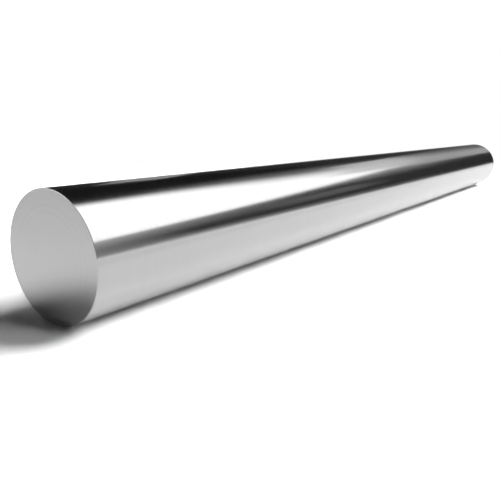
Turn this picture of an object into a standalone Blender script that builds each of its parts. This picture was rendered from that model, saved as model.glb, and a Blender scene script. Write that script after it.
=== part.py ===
"""Stainless steel round bar, 65 mm across and 800 mm long, lying on its side.

One solid piece of bright bar, turned, ground and polished, and cut square at both ends.
Metres, +Z up. The bar runs along X and lies on the floor plane at Z = 0, with the
origin on the floor under the middle of its length.
"""

import math

import bmesh
import bpy
from mathutils import Matrix

# Driving dimensions
BAR_DIAMETER = 0.065
BAR_LENGTH = 0.800
EDGE_BREAK = 0.0003

# Sides of the round surface. A multiple of four puts a flat side at the bottom and
# another at the top, front and back.
ROUND_SIDES = 192
EDGE_BREAK_STEPS = 2
SHARP_ANGLE = math.radians(30)

# Polished austenitic stainless steel
STEEL_COLOUR = (0.60, 0.60, 0.60, 1.0)
STEEL_ROUGHNESS = 0.22
STEEL_METALLIC = 1.0


def clear_scene():
    for old in list(bpy.data.objects):
        bpy.data.objects.remove(old, do_unlink=True)


def new_collection(name):
    collection = bpy.data.collections.new(name)
    bpy.context.scene.collection.children.link(collection)
    return collection


def polished_stainless_steel():
    material = bpy.data.materials.new("polished_stainless_steel")
    material.use_nodes = True
    shader = material.node_tree.nodes["Principled BSDF"]
    shader.inputs["Base Color"].default_value = STEEL_COLOUR
    shader.inputs["Roughness"].default_value = STEEL_ROUGHNESS
    shader.inputs["Metallic"].default_value = STEEL_METALLIC
    material.diffuse_color = STEEL_COLOUR
    return material


def bar_mesh():
    """A cylinder about the X axis. Its flat sides touch the true circle, and one faces down."""
    half_side = math.pi / ROUND_SIDES
    corner_radius = BAR_DIAMETER / 2 / math.cos(half_side)
    along_x = Matrix.Rotation(math.pi / 2, 4, "Y")
    side_down = Matrix.Rotation(half_side, 4, "Z")

    bm = bmesh.new()
    bmesh.ops.create_cone(
        bm,
        cap_ends=True,
        cap_tris=False,
        segments=ROUND_SIDES,
        radius1=corner_radius,
        radius2=corner_radius,
        depth=BAR_LENGTH,
        matrix=along_x @ side_down,
    )
    mesh = bpy.data.meshes.new("round_bar")
    bm.to_mesh(mesh)
    bm.free()
    mesh.shade_smooth()
    mesh.set_sharp_from_angle(angle=SHARP_ANGLE)
    return mesh


def break_edges(bar):
    """The saw leaves both rims sharp, so each is dressed to a small round.

    Hardened normals keep the long sides shaded as a true cylinder right up to the rims.
    """
    bevel = bar.modifiers.new("edge_break", "BEVEL")
    bevel.limit_method = "ANGLE"
    bevel.angle_limit = SHARP_ANGLE
    bevel.offset_type = "OFFSET"
    bevel.width = EDGE_BREAK
    bevel.segments = EDGE_BREAK_STEPS
    bevel.use_clamp_overlap = True
    bevel.harden_normals = True


def round_bar(collection):
    bar = bpy.data.objects.new("round_bar", bar_mesh())
    collection.objects.link(bar)
    bar.location = (0.0, 0.0, BAR_DIAMETER / 2)
    bar.data.materials.append(polished_stainless_steel())
    break_edges(bar)
    return bar


def main():
    clear_scene()
    round_bar(new_collection("stainless_steel_round_bar"))


main()
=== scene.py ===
"""Stainless steel round bar on a white studio floor.

A length of bright bar, turned, ground and polished, cut square at both ends and laid on
its side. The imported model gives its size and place, and this script gives it its finish,
the studio and the camera.
"""

import math

import bmesh
import bpy
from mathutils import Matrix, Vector


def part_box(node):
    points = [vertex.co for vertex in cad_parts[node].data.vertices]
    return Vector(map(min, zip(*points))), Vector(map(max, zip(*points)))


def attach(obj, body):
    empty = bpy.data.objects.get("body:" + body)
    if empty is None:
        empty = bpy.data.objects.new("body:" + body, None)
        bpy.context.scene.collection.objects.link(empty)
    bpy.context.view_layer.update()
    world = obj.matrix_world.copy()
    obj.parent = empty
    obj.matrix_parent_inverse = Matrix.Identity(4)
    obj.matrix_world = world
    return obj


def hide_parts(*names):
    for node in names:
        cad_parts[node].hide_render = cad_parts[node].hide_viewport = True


bl_info = {
    "name": "Stainless steel round bar",
    "version": (1, 0, 0),
    "blender": (4, 5, 0),
    "location": "3D View > Sidebar > Round bar",
    "description": "Turns a polished stainless steel bar and sets the studio around it",
    "category": "Object",
}

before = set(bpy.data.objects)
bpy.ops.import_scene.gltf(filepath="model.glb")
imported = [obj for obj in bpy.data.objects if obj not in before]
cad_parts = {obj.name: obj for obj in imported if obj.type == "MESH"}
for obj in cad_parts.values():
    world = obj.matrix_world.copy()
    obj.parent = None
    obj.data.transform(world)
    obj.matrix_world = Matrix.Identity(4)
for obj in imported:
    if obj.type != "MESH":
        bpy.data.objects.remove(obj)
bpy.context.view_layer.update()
CAD_NODE = "round_bar"
LOW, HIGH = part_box(CAD_NODE)
MM = 0.001


def linear(code):
    """An sRGB hex value such as "#c8c8c8" as linear red, green, blue and alpha."""
    channels = [int(code.lstrip("#")[i : i + 2], 16) / 255 for i in (0, 2, 4)]
    return [c / 12.92 if c <= 0.04045 else ((c + 0.055) / 1.055) ** 2.4 for c in channels] + [1.0]


def toward(azimuth, elevation):
    """The unit vector at an azimuth from +X towards +Y and an elevation, both in degrees."""
    a = math.radians(azimuth)
    e = math.radians(elevation)
    return Vector((math.cos(e) * math.cos(a), math.cos(e) * math.sin(a), math.sin(e)))


def node(tree, kind, settings=None, **links):
    """Adds a node with its settings and links.

    A setting is a property or an input socket, by name or number. A link is an input
    socket, by name or as _0, and the (node, output) that feeds it.
    """
    new = tree.nodes.new(kind)
    for key, value in (settings or {}).items():
        if isinstance(key, int) or key in new.inputs:
            new.inputs[key].default_value = value
        else:
            setattr(new, key, value)
    for name, (source, output) in links.items():
        key = int(name[1:]) if name[1:].isdigit() else name.replace("_", " ")
        tree.links.new(source.outputs[output], new.inputs[key])
    return new


def empty_material(name):
    material = bpy.data.materials.new(name)
    material.use_nodes = True
    material.node_tree.nodes.clear()
    return material


# Materials of the bar

# A pattern's size is given in metres along the bar, across it and up, so a long size round
# the bar and a short one along it draw a line that runs round. More detail adds finer noise.
GRIND_LINE = (1.6 * MM, 60 * MM, 60 * MM)
GRIND_DETAIL = 3.0
FACING_RING = 1.6 * MM
RING_DETAIL = 2.0
POLISH_CLOUD = (160 * MM, 22 * MM, 22 * MM)
FACE_CLOUD = (30 * MM, 30 * MM, 30 * MM)
CLOUD_DETAIL = 2.0

# Most of a soft noise lies between these two values.
NOISE_LOW = 0.3
NOISE_HIGH = 0.7


def pattern(tree, place, sizes, detail):
    """Soft noise whose spots have the given sizes."""
    scaled = node(
        tree,
        "ShaderNodeVectorMath",
        {"operation": "DIVIDE", 1: sizes},
        _0=(place, "Object"),
    )
    return node(
        tree,
        "ShaderNodeTexNoise",
        {"Scale": 1.0, "Detail": detail},
        Vector=(scaled, "Vector"),
    )


def steel(name, finish, colour, roughness, cloud_size, lines):
    """Bare stainless steel whose gloss and colour drift a little, with fine tool lines.

    lines(tree, place) gives the noise that draws the tool lines. The clouds and the lines
    each give half of the drift in colour.
    """
    material = empty_material(name)
    tree = material.node_tree
    place = node(tree, "ShaderNodeTexCoord")
    cloud = pattern(tree, place, cloud_size, CLOUD_DETAIL)
    line = lines(tree, place)
    haze, streak, cloud_shade, line_shade = (
        node(
            tree,
            "ShaderNodeMapRange",
            {"From Min": NOISE_LOW, "From Max": NOISE_HIGH, "To Min": low, "To Max": high},
            Value=(noise, "Fac"),
        )
        for noise, low, high in (
            (cloud, roughness - finish.haze, roughness + finish.haze),
            (line, -finish.line_gloss, finish.line_gloss),
            (cloud, 0.0, 0.5),
            (line, 0.0, 0.5),
        )
    )
    gloss = node(tree, "ShaderNodeMath", {"operation": "ADD"}, _0=(haze, 0), _1=(streak, 0))
    shade = node(
        tree,
        "ShaderNodeMath",
        {"operation": "ADD"},
        _0=(cloud_shade, 0),
        _1=(line_shade, 0),
    )
    light, dull = (
        [channel * (1 + side * finish.shading / 2) for channel in colour[:3]] + [1.0]
        for side in (1, -1)
    )
    tone = node(
        tree,
        "ShaderNodeMix",
        {"data_type": "RGBA", 6: light, 7: dull},
        _0=(shade, 0),
    )
    relief = node(
        tree,
        "ShaderNodeBump",
        {"Strength": 1.0, "Distance": finish.line_depth},
        Height=(line, "Fac"),
    )
    shader = node(
        tree,
        "ShaderNodeBsdfPrincipled",
        {"Metallic": 1.0},
        Base_Color=(tone, 2),
        Roughness=(gloss, 0),
        Normal=(relief, "Normal"),
    )
    node(tree, "ShaderNodeOutputMaterial", None, Surface=(shader, "BSDF"))
    return material


def polished_stainless_steel(finish):
    """Stainless steel, centreless ground and polished.

    The eye sees a bright mirror, blurred a little. Fine grinding lines run round the bar.
    They are about 0.06 mm apart on a real one, too fine to show, and are drawn at 1.6 mm.
    Long faint clouds lie along the bar, where the polishing wheel passed.
    """

    def grinding_lines(tree, place):
        return pattern(tree, place, GRIND_LINE, GRIND_DETAIL)

    return steel(
        "polished_stainless_steel",
        finish,
        finish.colour,
        finish.roughness,
        POLISH_CLOUD,
        grinding_lines,
    )


def faced_stainless_steel(finish):
    """Stainless steel, sawn off and faced in the lathe with a fine feed.

    The eye sees a flat satin mirror with faint rings round the centre. The feed is about
    0.1 mm a turn on a real one, too fine to show, and the rings are drawn at 1.6 mm.
    """

    def facing_rings(tree, place):
        across = node(
            tree,
            "ShaderNodeVectorMath",
            {"operation": "MULTIPLY", 1: (0.0, 1.0, 1.0)},
            _0=(place, "Object"),
        )
        radius = node(tree, "ShaderNodeVectorMath", {"operation": "LENGTH"}, _0=(across, "Vector"))
        turns = node(
            tree,
            "ShaderNodeMath",
            {"operation": "DIVIDE", 1: FACING_RING},
            _0=(radius, "Value"),
        )
        return node(
            tree,
            "ShaderNodeTexNoise",
            {"noise_dimensions": "1D", "Scale": 1.0, "Detail": RING_DETAIL},
            W=(turns, 0),
        )

    return steel(
        "faced_stainless_steel",
        finish,
        finish.end_colour,
        finish.end_roughness,
        FACE_CLOUD,
        facing_rings,
    )


# The bar

# The bar's two material slots.
SIDE, END = 0, 1

# Parts of the barrel, each one ring of faces, and the rings on an end face as shares of
# its radius.
BARREL_PARTS = 4
FACE_STEPS = (0.0, 0.25, 0.5, 0.75)

# Points that are closer than this become one, where the turned mesh closes.
MERGE_DISTANCE = 0.001 * MM

# The map that a bake uses. The barrel lies in bands, one for each of its parts, so that
# the fine lines across the bar get enough pixels. The two ends lie above. Sizes are shares
# of the map.
MAP_NAME = "OFBake"
MAP_GAP = 0.01
BAND_HEIGHT = 0.18
END_SIZE = 0.2


def profile(length, radius, edge, steps):
    """(x, r) from the axis at one end face, over its rim, along the bar and back to the axis."""
    turns = [math.pi / 2 * i / steps for i in range(steps + 1)]
    rim = [(edge * (1 - math.sin(a)), radius - edge * (1 - math.cos(a))) for a in reversed(turns)]
    face = [(0.0, (radius - edge) * share) for share in FACE_STEPS]
    near = [(x - length / 2, r) for x, r in face + rim]
    barrel = [(length * (i / BARREL_PARTS - 0.5), radius) for i in range(1, BARREL_PARTS)]
    far = [(-x, r) for x, r in reversed(near)]
    return near + barrel + far


def true_normal(co, length, radius, edge):
    """The normal of the ideal bar at a point on it: flat ends, a round rim and a true barrel."""
    r = math.hypot(co.y, co.z)
    outward = Vector((0, co.y, co.z)) / r if r > edge else Vector((0, 0, 0))
    along = Vector((math.copysign(1, co.x), 0, 0))
    past_x = max(0.0, abs(co.x) - (length / 2 - edge)) / edge
    past_r = max(0.0, r - (radius - edge)) / edge
    return (along * past_x + outward * past_r).normalized()


def around(co):
    """The turn of a point about the axis, 0 at the top and half a turn either way at the floor."""
    return math.atan2(co.y, co.z)


def lay_on_map(face, uv, length, radius):
    """Lays a face of the barrel in its band, unrolled, and a face of an end above the bands."""
    middle = face.calc_center_median()
    part = min(BARREL_PARTS - 1, int((middle.x / length + 0.5) * BARREL_PARTS))
    step = BAND_HEIGHT + MAP_GAP
    for loop in face.loops:
        co = loop.vert.co
        if face.material_index == END:
            side = 0 if middle.x < 0 else 1
            corner = Vector((MAP_GAP + side * (END_SIZE + MAP_GAP), MAP_GAP + BARREL_PARTS * step))
            loop[uv].uv = corner + Vector((co.y / radius + 1, co.z / radius + 1)) * END_SIZE / 2
            continue
        turn = around(co) - around(middle)
        turn -= math.tau * round(turn / math.tau)
        share = (turn + around(middle)) / math.tau + 0.5
        along = (co.x / length + 0.5) * BARREL_PARTS - part
        u = MAP_GAP + along * (1 - 2 * MAP_GAP)
        v = MAP_GAP + part * step + share * BAND_HEIGHT
        loop[uv].uv = (u, v)


def turn_bar(shape, finish):
    """The whole bar as one closed mesh turned about the X axis, with exact normals."""
    length, radius, edge = shape.length, shape.diameter / 2, shape.edge_break
    bm = bmesh.new()
    points = profile(length, radius, edge, shape.edge_steps)
    verts = [bm.verts.new((x, 0, -r)) for x, r in points]
    edges = [bm.edges.new(pair) for pair in zip(verts, verts[1:])]
    bmesh.ops.spin(
        bm,
        geom=verts + edges,
        cent=(0, 0, 0),
        axis=(1, 0, 0),
        angle=math.tau,
        steps=shape.sides,
        use_merge=True,
    )
    bmesh.ops.remove_doubles(bm, verts=bm.verts, dist=MERGE_DISTANCE)
    bmesh.ops.recalc_face_normals(bm, faces=bm.faces)
    uv = bm.loops.layers.uv.new(MAP_NAME)
    for face in bm.faces:
        face.smooth = True
        inner = min(math.hypot(v.co.y, v.co.z) for v in face.verts) < radius - edge / 2
        face.material_index = END if inner else SIDE
        lay_on_map(face, uv, length, radius)
    mesh = bpy.data.meshes.new("turned_bar")
    bm.to_mesh(mesh)
    bm.free()
    mesh.normals_split_custom_set_from_vertices(
        [true_normal(v.co, length, radius, edge) for v in mesh.vertices]
    )
    bar = bpy.data.objects.new("turned_bar", mesh)
    bpy.context.scene.collection.objects.link(bar)
    bar.location = (0, 0, radius)
    mesh.materials.append(polished_stainless_steel(finish))
    mesh.materials.append(faced_stainless_steel(finish))
    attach(bar, "root")
    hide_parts(CAD_NODE)


# The studio

# Each card is a patch of the studio that the bar mirrors. Its four corners, from the lower
# left round to the upper left, are azimuth and elevation in degrees, and a brightness. A
# later card hangs in front of the earlier ones.
CARDS = {
    "dark_wall": ((-62, 0, 0.03), (58, 0, 0.03), (58, 21, 0.03), (-62, 21, 0.03)),
    "black_flag": ((-2, 21, 0.01), (58, 21, 0.01), (58, 74, 0.01), (-2, 74, 0.01)),
    "left_wall": ((-62, 0, 0.6), (-44, 0, 0.1), (-44, 10, 0.1), (-62, 10, 0.5)),
    "left_wall_top": ((-62, 10, 0.5), (-44, 10, 0.1), (-44, 21, 0.45), (-62, 21, 0.85)),
    "left_glow": ((-44, 10, 0.1), (-26, 10, 0.04), (-26, 21, 0.12), (-44, 21, 0.45)),
    "skirting": ((-62, 0, 0.5), (-14, 0, 0.13), (-14, 4, 0.02), (-62, 4, 0.35)),
    "grey_panel": ((-33, 8, 0.12), (-21, 8, 0.16), (-21, 14, 0.25), (-33, 14, 0.14)),
    "lower_glow": ((-20, 12, 0.02), (-8, 12, 0.05), (-8, 20.1, 0.35), (-20, 20.3, 0.2)),
    "softbox": ((-50, 21.2, 2.1), (-9.5, 20.3, 2.1), (-6, 33, 2.1), (-50, 33, 2.1)),
    "softbox_middle": ((-50, 33, 2.1), (-6, 33, 2.1), (2, 45, 2.2), (-50, 45, 2.2)),
    "softbox_top": ((-50, 45, 2.2), (2, 45, 2.2), (3, 74, 2.2), (-50, 74, 2.2)),
    "softbox_left": ((-62, 21.2, 0.9), (-50, 21.2, 2.1), (-50, 74, 2.2), (-62, 74, 1.1)),
    "softbox_right": ((-9.5, 20.3, 2.1), (3, 20.3, 0.3), (8, 33, 0.2), (-6, 33, 2.1)),
    "softbox_right_middle": ((-6, 33, 2.1), (8, 33, 0.2), (14, 45, 0.1), (2, 45, 2.2)),
    "softbox_right_top": ((2, 45, 2.2), (14, 45, 0.1), (16, 74, 0.05), (3, 74, 2.2)),
    "softbox_glow": ((3, 21, 0.3), (16, 21, 0.02), (24, 45, 0.01), (14, 45, 0.1)),
    "end_door": ((0, 4, 0.6), (1.5, 4, 0.6), (1.5, 19.5, 0.42), (-9.6, 19.5, 0.38)),
    "end_door_side": ((1.5, 4, 0.6), (6.5, 4, 0.1), (7, 19.5, 0.28), (1.5, 19.5, 0.42)),
    "end_door_glow": ((6.5, 4, 0.1), (12, 4, 0.08), (14, 19.5, 0.04), (7, 19.5, 0.28)),
    "end_panel": ((-8, 18.8, 0.9), (10.5, 18.4, 0.8), (10.5, 26, 0.65), (-8, 26, 1.0)),
    "low_right": ((9, 0, 0.32), (52, 0, 0.45), (52, 7.5, 0.3), (9, 7.5, 0.12)),
    "right_strip": ((41, 3, 0.4), (49, 3, 0.4), (49, 21, 0.4), (41, 21, 0.4)),
    "back_wall": ((58, 0, 0.2), (298, 0, 0.4), (298, 18, 0.4), (58, 18, 0.2)),
    "end_back_panel": ((150, 18, 0.53), (298, 18, 0.53), (298, 74, 0.53), (150, 74, 0.53)),
    "back_softbox": ((80, 26, 1.6), (150, 26, 1.6), (150, 70, 1.6), (80, 70, 1.6)),
}

# How far out the first card hangs and how much nearer each later one, in metres. A face of
# a card is about CARD_STEP degrees wide, with at least FEWEST_FACES each way.
CARD_DISTANCE = 20.0
CARD_LAYER = 0.1
CARD_STEP = 4
FEWEST_FACES = 2


def before_matt(tree):
    """1 on a path that only mirrors have turned so far, and 0 once a matt surface has."""
    path = node(tree, "ShaderNodeLightPath")
    return node(
        tree,
        "ShaderNodeMath",
        {"operation": "SUBTRACT", "use_clamp": True, 0: 1.0},
        _1=(path, "Diffuse Depth"),
    )


def glow(name, levels):
    """Light that runs evenly between the levels at a card's four corners."""
    low_left, low_right, high_right, high_left = levels
    material = empty_material(name)
    tree = material.node_tree
    place = node(tree, "ShaderNodeTexCoord")
    axes = node(tree, "ShaderNodeSeparateXYZ", None, _0=(place, "UV"))
    low, high = (
        node(tree, "ShaderNodeMapRange", {"To Min": left, "To Max": right}, Value=(axes, "X"))
        for left, right in ((low_left, low_right), (high_left, high_right))
    )
    level = node(
        tree,
        "ShaderNodeMix",
        None,
        Factor=(axes, "Y"),
        _2=(low, "Result"),
        _3=(high, "Result"),
    )
    shown = node(
        tree,
        "ShaderNodeMath",
        {"operation": "MULTIPLY"},
        _0=(level, "Result"),
        _1=(before_matt(tree), 0),
    )
    light = node(tree, "ShaderNodeEmission", None, Strength=(shown, 0))
    node(tree, "ShaderNodeOutputMaterial", None, Surface=(light, "Emission"))
    return material


def add_card(name, corners, distance, strength):
    """A curved card round the bar, which shows in the metal only."""
    low_left, low_right, high_right, high_left = (Vector(corner[:2]) for corner in corners)
    across = max(FEWEST_FACES, round(abs(low_right.x - low_left.x) / CARD_STEP))
    up = max(FEWEST_FACES, round(abs(high_left.y - low_left.y) / CARD_STEP))
    bm = bmesh.new()
    uv = bm.loops.layers.uv.new("UVMap")
    spots = {}
    for i in range(across + 1):
        for j in range(up + 1):
            u, v = i / across, j / up
            angles = low_left.lerp(low_right, u).lerp(high_left.lerp(high_right, u), v)
            spots[i, j] = (bm.verts.new(distance * toward(*angles)), (u, v))
    for i in range(across):
        for j in range(up):
            quad = [spots[i, j], spots[i + 1, j], spots[i + 1, j + 1], spots[i, j + 1]]
            face = bm.faces.new([vert for vert, _ in quad])
            for loop, (_, place) in zip(face.loops, quad):
                loop[uv].uv = place
    mesh = bpy.data.meshes.new(name)
    bm.to_mesh(mesh)
    bm.free()
    card = bpy.data.objects.new(name, mesh)
    bpy.context.scene.collection.objects.link(card)
    mesh.materials.append(glow(name, [corner[2] * strength for corner in corners]))
    card.visible_camera = False
    card.visible_diffuse = False
    card.visible_shadow = False


# Where each lamp hangs, as azimuth and elevation in degrees, and its width and height in
# metres. All of them face the spot under the middle of the bar from the same distance.
LAMP_DISTANCE = 3.64
FRONT_LAMP = (-43, 45, 1.3, 1.9)
END_LAMP = (-17.5, 56, 1.1, 2.65)
STRIP_LAMP = (-82.5, 37.5, 0.83, 1.5)


def add_lamp(name, spot, power):
    """A soft lamp that lights the floor and doesn't show in the metal."""
    azimuth, elevation, width, height = spot
    data = bpy.data.lights.new(name, "AREA")
    data.shape = "RECTANGLE"
    data.size = width
    data.size_y = height
    data.energy = power
    lamp = bpy.data.objects.new(name, data)
    bpy.context.scene.collection.objects.link(lamp)
    lamp.location = LAMP_DISTANCE * toward(azimuth, elevation)
    lamp.rotation_euler = lamp.location.to_track_quat("Z", "Y").to_euler()
    lamp.visible_camera = False
    lamp.visible_glossy = False


def looked_at(tree):
    """1 for what the camera sees, straight or in the metal, and 0 for light on its way."""
    path = node(tree, "ShaderNodeLightPath")
    mirror = node(
        tree,
        "ShaderNodeMath",
        {"operation": "MAXIMUM"},
        _0=(path, "Is Camera Ray"),
        _1=(path, "Is Glossy Ray"),
    )
    seen = node(
        tree,
        "ShaderNodeMath",
        {"operation": "MAXIMUM"},
        _0=(mirror, 0),
        _1=(path, "Is Transmission Ray"),
    )
    return node(
        tree,
        "ShaderNodeMath",
        {"operation": "MULTIPLY"},
        _0=(seen, 0),
        _1=(before_matt(tree), 0),
    )


FLOOR_SIDES = 96

# The strength of light that shows as plain white.
WHITE = 1.0

# How far out the matt floor starts to fade into the white background, and where it has
# faded, as the camera sees it and as the metal mirrors it.
SEEN_FADE = (0.5, 1.0)
MIRRORED_FADE = (0.7, 1.7)

# How the floor's colour is painted where the metal mirrors it. Each holds two places in
# metres, and the share at the first and at the second. Painted shade darkens the colour in
# front of the bar, along Y, and a little towards the far end, along X. Right under the bar,
# within its length, painted light lifts the colour for the light that the metal throws
# down, and there the places are distances from the middle.
FRONT_PAINTED_SHADE = (-0.10, -0.28, 0.98, 0.80)
FAR_PAINTED_SHADE = (-0.05, 0.40, 1.0, 0.94)
UNDER_PAINTED_LIGHT = (0.031, 0.017, 0.0, 0.22)
WITHIN_LENGTH = (HIGH.x + 10 * MM, HIGH.x, 0.0, 1.0)


def painted_floor_light_and_shade(tree, place):
    """Painted shade and painted light on the floor in the metal, as a share of its colour."""
    either_side = node(
        tree,
        "ShaderNodeVectorMath",
        {"operation": "ABSOLUTE"},
        _0=(place, "Object"),
    )
    axes = node(tree, "ShaderNodeSeparateXYZ", None, _0=(place, "Object"))
    distances = node(tree, "ShaderNodeSeparateXYZ", None, _0=(either_side, "Vector"))
    front, far, under, within = (
        node(
            tree,
            "ShaderNodeMapRange",
            {
                "interpolation_type": "SMOOTHSTEP",
                "From Min": start,
                "From Max": end,
                "To Min": first,
                "To Max": last,
            },
            Value=(source, axis),
        )
        for source, axis, (start, end, first, last) in (
            (axes, "Y", FRONT_PAINTED_SHADE),
            (axes, "X", FAR_PAINTED_SHADE),
            (distances, "Y", UNDER_PAINTED_LIGHT),
            (distances, "X", WITHIN_LENGTH),
        )
    )
    # Painted light: under the bar, within its length, the floor's colour is lifted.
    painted_light = node(
        tree,
        "ShaderNodeMath",
        {"operation": "MULTIPLY_ADD", 2: 1.0},
        _0=(under, "Result"),
        _1=(within, "Result"),
    )
    # Painted shade: the floor's colour darkened in front of the bar and towards the far end.
    painted_shade = node(
        tree,
        "ShaderNodeMath",
        {"operation": "MULTIPLY"},
        _0=(front, "Result"),
        _1=(far, "Result"),
    )
    return node(
        tree,
        "ShaderNodeMath",
        {"operation": "MULTIPLY"},
        _0=(painted_shade, 0),
        _1=(painted_light, 0),
    )


def faded_share(tree, place):
    """How far the floor has faded into the white background, seen straight or in the metal."""
    path = node(tree, "ShaderNodeLightPath")
    away = node(tree, "ShaderNodeVectorMath", {"operation": "LENGTH"}, _0=(place, "Object"))
    seen_fade, mirrored_fade = (
        node(
            tree,
            "ShaderNodeMapRange",
            {"interpolation_type": "SMOOTHSTEP", "From Min": start, "From Max": end},
            Value=(away, "Value"),
        )
        for start, end in (SEEN_FADE, MIRRORED_FADE)
    )
    seen = node(
        tree,
        "ShaderNodeMath",
        {"operation": "MULTIPLY"},
        _0=(seen_fade, "Result"),
        _1=(path, "Is Camera Ray"),
    )
    mirrored = node(
        tree,
        "ShaderNodeMath",
        {"operation": "MULTIPLY"},
        _0=(mirrored_fade, "Result"),
        _1=(looked_at(tree), 0),
    )
    return node(
        tree,
        "ShaderNodeMath",
        {"operation": "MAXIMUM"},
        _0=(seen, 0),
        _1=(mirrored, 0),
    )


def matt_white_floor(studio):
    """Matt white board, painted.

    The eye sees no gloss, only the bar's soft shadow, and white further out. The camera
    sees the board brighter than the metal does, as a photo exposed for a white floor has it.
    In the metal its colour carries painted shade in front of the bar and towards the far
    end, and painted light under the bar.
    """
    material = empty_material("matt_white_floor")
    tree = material.node_tree
    place = node(tree, "ShaderNodeTexCoord")
    path = node(tree, "ShaderNodeLightPath")
    # The floor's colour in the metal, with its painted shade and painted light.
    shade = node(
        tree,
        "ShaderNodeVectorMath",
        {"operation": "SCALE", 0: studio.floor_colour[:3]},
        Scale=(painted_floor_light_and_shade(tree, place), 0),
    )
    mirrored = node(tree, "ShaderNodeBsdfDiffuse", None, Color=(shade, "Vector"))
    bright = [studio.floor_exposure * channel for channel in studio.floor_colour[:3]]
    seen = node(tree, "ShaderNodeBsdfDiffuse", {"Color": (*bright, 1.0)})
    matt = node(
        tree,
        "ShaderNodeMixShader",
        None,
        _0=(path, "Is Camera Ray"),
        _1=(mirrored, "BSDF"),
        _2=(seen, "BSDF"),
    )
    background = node(tree, "ShaderNodeEmission", {"Strength": WHITE})
    mix = node(
        tree,
        "ShaderNodeMixShader",
        None,
        _0=(faded_share(tree, place), 0),
        _1=(matt, "Shader"),
        _2=(background, "Emission"),
    )
    node(tree, "ShaderNodeOutputMaterial", None, Surface=(mix, "Shader"))
    return material


def add_floor(studio):
    """A round floor under the bar, which keeps its shadow."""
    bm = bmesh.new()
    bmesh.ops.create_circle(
        bm,
        cap_ends=True,
        segments=FLOOR_SIDES,
        radius=studio.floor_radius,
    )
    mesh = bpy.data.meshes.new("floor")
    bm.to_mesh(mesh)
    bm.free()
    floor = bpy.data.objects.new("floor", mesh)
    bpy.context.scene.collection.objects.link(floor)
    mesh.materials.append(matt_white_floor(studio))


def add_world(studio):
    """White where the camera or a mirror looks, and a low even light for everything else."""
    world = bpy.data.worlds.new("white_studio")
    bpy.context.scene.world = world
    world.use_nodes = True
    tree = world.node_tree
    tree.nodes.clear()
    dim, white = (
        node(tree, "ShaderNodeBackground", {"Color": (1, 1, 1, 1), "Strength": strength})
        for strength in (studio.ambient, WHITE)
    )
    mix = node(
        tree,
        "ShaderNodeMixShader",
        None,
        _0=(looked_at(tree), 0),
        _1=(dim, "Background"),
        _2=(white, "Background"),
    )
    node(tree, "ShaderNodeOutputWorld", None, Surface=(mix, "Shader"))


# Where the camera stands in metres, which way it looks, and its focal length in pixels of
# the photo, which is PHOTO_PIXELS wide.
CAMERA_PLACE = Vector((-0.544263, -0.211897, 0.091035))
CAMERA_AIM = Vector((0.799812, 0.558093, -0.220990))
FOCAL_PIXELS = 537.94
PHOTO_PIXELS = 500
SENSOR_MM = 36
CLIP_START = 10 * MM


def add_camera():
    """The camera at the photo's viewing angle, close to the near end."""
    data = bpy.data.cameras.new("camera")
    data.sensor_width = SENSOR_MM
    data.lens = FOCAL_PIXELS / PHOTO_PIXELS * SENSOR_MM
    data.clip_start = CLIP_START
    camera = bpy.data.objects.new("camera", data)
    bpy.context.scene.collection.objects.link(camera)
    camera.location = CAMERA_PLACE
    camera.rotation_euler = CAMERA_AIM.to_track_quat("-Z", "Y").to_euler()
    bpy.context.scene.camera = camera


def set_stage(studio):
    """The whole studio round the bar."""
    bpy.context.scene.view_settings.view_transform = "Standard"
    add_world(studio)
    add_floor(studio)
    for layer, (name, corners) in enumerate(CARDS.items()):
        add_card(name, corners, CARD_DISTANCE - layer * CARD_LAYER, studio.card_strength)
    add_lamp("front_lamp", FRONT_LAMP, studio.front_power)
    add_lamp("end_lamp", END_LAMP, studio.end_power)
    add_lamp("strip_lamp", STRIP_LAMP, studio.strip_power)
    add_camera()


# The add-on


class BarShape(bpy.types.PropertyGroup):
    length: bpy.props.FloatProperty(
        name="Length",
        description="Length of the bar between its two end faces",
        default=HIGH.x - LOW.x,
        unit="LENGTH",
    )
    diameter: bpy.props.FloatProperty(
        name="Diameter",
        description="Diameter of the round surface",
        default=HIGH.z - LOW.z,
        unit="LENGTH",
    )
    edge_break: bpy.props.FloatProperty(
        name="Edge break",
        description="Radius of the dressed rim at each end",
        default=0.3 * MM,
        unit="LENGTH",
        precision=5,
    )
    edge_steps: bpy.props.IntProperty(
        name="Edge steps",
        description="Facets across the rim's round",
        default=4,
        min=1,
    )
    sides: bpy.props.IntProperty(
        name="Sides",
        description="Facets round the bar",
        default=384,
        min=12,
    )


class SteelFinish(bpy.types.PropertyGroup):
    colour: bpy.props.FloatVectorProperty(
        name="Colour",
        description="Colour that the bare metal mirrors head on",
        size=4,
        subtype="COLOR",
        default=linear("#c6c6c6"),
    )
    end_colour: bpy.props.FloatVectorProperty(
        name="End colour",
        description="Colour that the faced ends mirror head on",
        size=4,
        subtype="COLOR",
        default=linear("#cbcbcb"),
    )
    shading: bpy.props.FloatProperty(
        name="Shading",
        description="How far the colour differs between the lightest and the dullest places",
        default=0.05,
        subtype="FACTOR",
    )
    roughness: bpy.props.FloatProperty(
        name="Roughness",
        description="Blur of the polished round surface",
        default=0.15,
        subtype="FACTOR",
    )
    end_roughness: bpy.props.FloatProperty(
        name="End roughness",
        description="Blur of the faced ends",
        default=0.17,
        subtype="FACTOR",
    )
    haze: bpy.props.FloatProperty(
        name="Haze",
        description="How far the roughness drifts in clouds",
        default=0.012,
        subtype="FACTOR",
    )
    line_gloss: bpy.props.FloatProperty(
        name="Line gloss",
        description="How far the roughness differs from line to line",
        default=0.012,
        subtype="FACTOR",
    )
    line_depth: bpy.props.FloatProperty(
        name="Line depth",
        description="Depth of the tool lines",
        default=0.003 * MM,
        unit="LENGTH",
        precision=7,
    )


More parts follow.
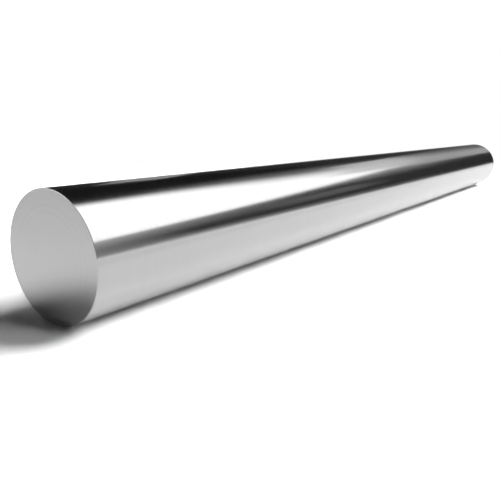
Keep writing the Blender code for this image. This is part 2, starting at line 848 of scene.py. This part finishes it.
class Studio(bpy.types.PropertyGroup):
    floor_colour: bpy.props.FloatVectorProperty(
        name="Floor colour",
        description="Colour of the matt floor",
        size=4,
        subtype="COLOR",
        default=linear("#f9f9f9"),
    )
    floor_exposure: bpy.props.FloatProperty(
        name="Floor exposure",
        description="How much brighter than its colour the floor looks to the camera",
        default=1.60,
    )
    floor_radius: bpy.props.FloatProperty(
        name="Floor radius",
        description="Where the floor ends",
        default=3.0,
        unit="LENGTH",
    )
    card_strength: bpy.props.FloatProperty(
        name="Card strength",
        description="Brightness of the cards that the bar mirrors, all together",
        default=0.87,
    )
    ambient: bpy.props.FloatProperty(
        name="Ambient",
        description="Strength of the even light from all round",
        default=0.027,
    )
    front_power: bpy.props.FloatProperty(
        name="Front power",
        description="Power of the lamp beyond the bar's front side",
        default=117.0,
        unit="POWER",
    )
    end_power: bpy.props.FloatProperty(
        name="End power",
        description="Power of the high lamp beyond the far end",
        default=67.0,
        unit="POWER",
    )
    strip_power: bpy.props.FloatProperty(
        name="Strip power",
        description="Power of the tall narrow lamp beside the bar",
        default=24.5,
        unit="POWER",
    )


class BAR_OT_turn(bpy.types.Operator):
    """Turn the polished bar in place of the plain one"""

    bl_idname = "bar.turn"
    bl_label = "Turn the bar"

    def execute(self, context):
        turn_bar(context.scene.bar_shape, context.scene.steel_finish)
        return {"FINISHED"}


class BAR_OT_stage(bpy.types.Operator):
    """Set the floor, the lamps, the cards, the white background and the camera"""

    bl_idname = "bar.stage"
    bl_label = "Set the studio"

    def execute(self, context):
        set_stage(context.scene.bar_studio)
        return {"FINISHED"}


class BAR_PT_panel(bpy.types.Panel):
    bl_label = "Round bar"
    bl_space_type = "VIEW_3D"
    bl_region_type = "UI"
    bl_category = "Round bar"

    def draw(self, context):
        layout = self.layout
        scene = context.scene
        for operator in (BAR_OT_turn, BAR_OT_stage):
            layout.operator(operator.bl_idname)
        for group in (scene.bar_shape, scene.steel_finish, scene.bar_studio):
            for key in group.__annotations__:
                layout.prop(group, key)


CLASSES = (BarShape, SteelFinish, Studio, BAR_OT_turn, BAR_OT_stage, BAR_PT_panel)


def register():
    for cls in CLASSES:
        bpy.utils.register_class(cls)
    bpy.types.Scene.bar_shape = bpy.props.PointerProperty(type=BarShape)
    bpy.types.Scene.steel_finish = bpy.props.PointerProperty(type=SteelFinish)
    bpy.types.Scene.bar_studio = bpy.props.PointerProperty(type=Studio)


def unregister():
    del bpy.types.Scene.bar_studio
    del bpy.types.Scene.steel_finish
    del bpy.types.Scene.bar_shape
    for cls in reversed(CLASSES):
        bpy.utils.unregister_class(cls)


def main():
    register()
    bpy.ops.bar.turn()
    bpy.ops.bar.stage()


if __name__ == "__main__":
    main()
